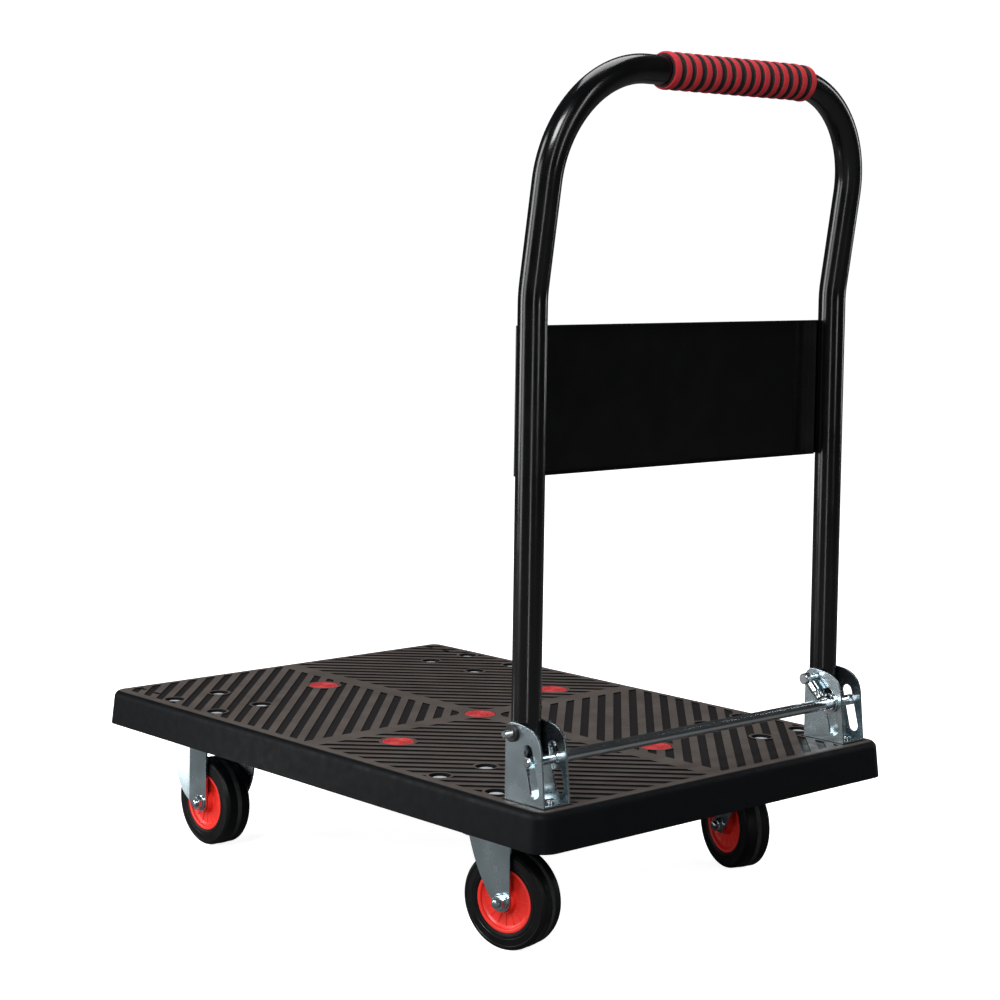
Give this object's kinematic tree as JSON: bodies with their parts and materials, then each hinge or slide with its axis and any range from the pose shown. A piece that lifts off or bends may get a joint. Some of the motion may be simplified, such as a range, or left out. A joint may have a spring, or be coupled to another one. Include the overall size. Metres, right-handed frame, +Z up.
{
  "type": "folding platform cart",
  "caption": "Low platform cart on fixed and swivel casters, with a tubular push handle that folds down over the deck after a sprung rod is pressed.",
  "frame": {"origin": "on the floor under the wheels, below the centre of the part's outline", "axes": "+X along the deck away from the handle, +Y across the deck, +Z up"},
  "size_m": [0.754, 0.514, 0.8869],
  "materials": {
    "deck_plastic": "satin moulded plastic, striped anti-slip top",
    "red_plastic": "smooth moulded",
    "rubber": "matt rubber",
    "black_paint": "gloss paint",
    "black_plastic": "moulded",
    "zinc": "zinc plate",
    "bright_steel": "bright plated",
    "foam": "ribbed foam, red ribs and black grooves"
  },
  "bodies": {
    "deck": {"deck": "deck_plastic", "deck_disc_centre": "red_plastic", "deck_disc_front": "red_plastic", "deck_disc_rear": "red_plastic", "deck_disc_left": "red_plastic", "deck_disc_right": "red_plastic", "fixed_caster_left_fork": "zinc", "fixed_caster_left_axle_bush": "bright_steel", "fixed_caster_left_axle_bolt": "zinc", "fixed_caster_left_axle_nut": "zinc", "fixed_caster_right_fork": "zinc", "fixed_caster_right_axle_bush": "bright_steel", "fixed_caster_right_axle_bolt": "zinc", "fixed_caster_right_axle_nut": "zinc", "swivel_caster_left_plate": "zinc", "swivel_caster_left_race": "zinc", "swivel_caster_left_king_pin": "bright_steel", "swivel_caster_right_plate": "zinc", "swivel_caster_right_race": "zinc", "swivel_caster_right_king_pin": "bright_steel", "bracket_left": "zinc", "bracket_right": "zinc", "base_bolt_left_front": "bright_steel", "base_bolt_left_rear": "bright_steel", "base_bolt_right_front": "bright_steel", "base_bolt_right_rear": "bright_steel", "pivot_bolt_left": "bright_steel", "pivot_bolt_right": "bright_steel", "pivot_nut_left": "black_plastic", "pivot_nut_right": "black_plastic", "lock_spring_left": "bright_steel", "lock_spring_right": "bright_steel"},
    "handle": {"handle_tube": "black_paint", "handle_panel": "black_paint", "handle_grip": "foam", "handle_plug_left": "black_plastic", "handle_plug_right": "black_plastic"},
    "lock_rod": {"lock_rod": "bright_steel", "rod_washer_left": "bright_steel", "rod_washer_right": "bright_steel", "rod_end_left": "bright_steel", "rod_end_right": "bright_steel"},
    "fixed_wheel_left": {"fixed_caster_left_tyre": "rubber", "fixed_caster_left_wheel_core": "red_plastic"},
    "fixed_wheel_right": {"fixed_caster_right_tyre": "rubber", "fixed_caster_right_wheel_core": "red_plastic"},
    "swivel_left": {"swivel_caster_left_fork": "zinc", "swivel_caster_left_axle_bush": "bright_steel", "swivel_caster_left_axle_bolt": "zinc", "swivel_caster_left_axle_nut": "zinc"},
    "swivel_right": {"swivel_caster_right_fork": "zinc", "swivel_caster_right_axle_bush": "bright_steel", "swivel_caster_right_axle_bolt": "zinc", "swivel_caster_right_axle_nut": "zinc"},
    "swivel_wheel_left": {"swivel_caster_left_tyre": "rubber", "swivel_caster_left_wheel_core": "red_plastic"},
    "swivel_wheel_right": {"swivel_caster_right_tyre": "rubber", "swivel_caster_right_wheel_core": "red_plastic"}
  },
  "joints": [
    {"name": "handle_fold", "type": "hinge", "parent": "deck", "child": "handle", "pos_m": [-0.3145, 0, 0.2315], "axis": [0, 1, 0], "range_deg": [0, 90]},
    {"name": "lock_rod_press", "type": "slide", "parent": "deck", "child": "lock_rod", "axis": [-0.2538, 0, -0.9673], "range_m": [0, 0.025], "stiffness_N_per_m": 1500, "springref_m": -0.01, "deforming": ["lock_spring_left", "lock_spring_right"]},
    {"name": "fixed_wheel_left_spin", "type": "hinge", "parent": "deck", "child": "fixed_wheel_left", "pos_m": [0.2405, 0.1945, 0.05], "axis": [0, 1, 0], "continuous": true},
    {"name": "fixed_wheel_right_spin", "type": "hinge", "parent": "deck", "child": "fixed_wheel_right", "pos_m": [0.2405, -0.1945, 0.05], "axis": [0, 1, 0], "continuous": true},
    {"name": "swivel_left_turn", "type": "hinge", "parent": "deck", "child": "swivel_left", "pos_m": [-0.236, 0.1945, 0.1], "axis": [0, 0, 1], "continuous": true},
    {"name": "swivel_right_turn", "type": "hinge", "parent": "deck", "child": "swivel_right", "pos_m": [-0.236, -0.1945, 0.1], "axis": [0, 0, 1], "continuous": true},
    {"name": "swivel_wheel_left_spin", "type": "hinge", "parent": "swivel_left", "child": "swivel_wheel_left", "pos_m": [-0.26353, 0.1884, 0.05], "axis": [-0.2164, 0.9763, 0], "continuous": true},
    {"name": "swivel_wheel_right_spin", "type": "hinge", "parent": "swivel_right", "child": "swivel_wheel_right", "pos_m": [-0.2087, -0.20156, 0.05], "axis": [-0.2504, -0.9681, 0], "continuous": true}
  ]
}
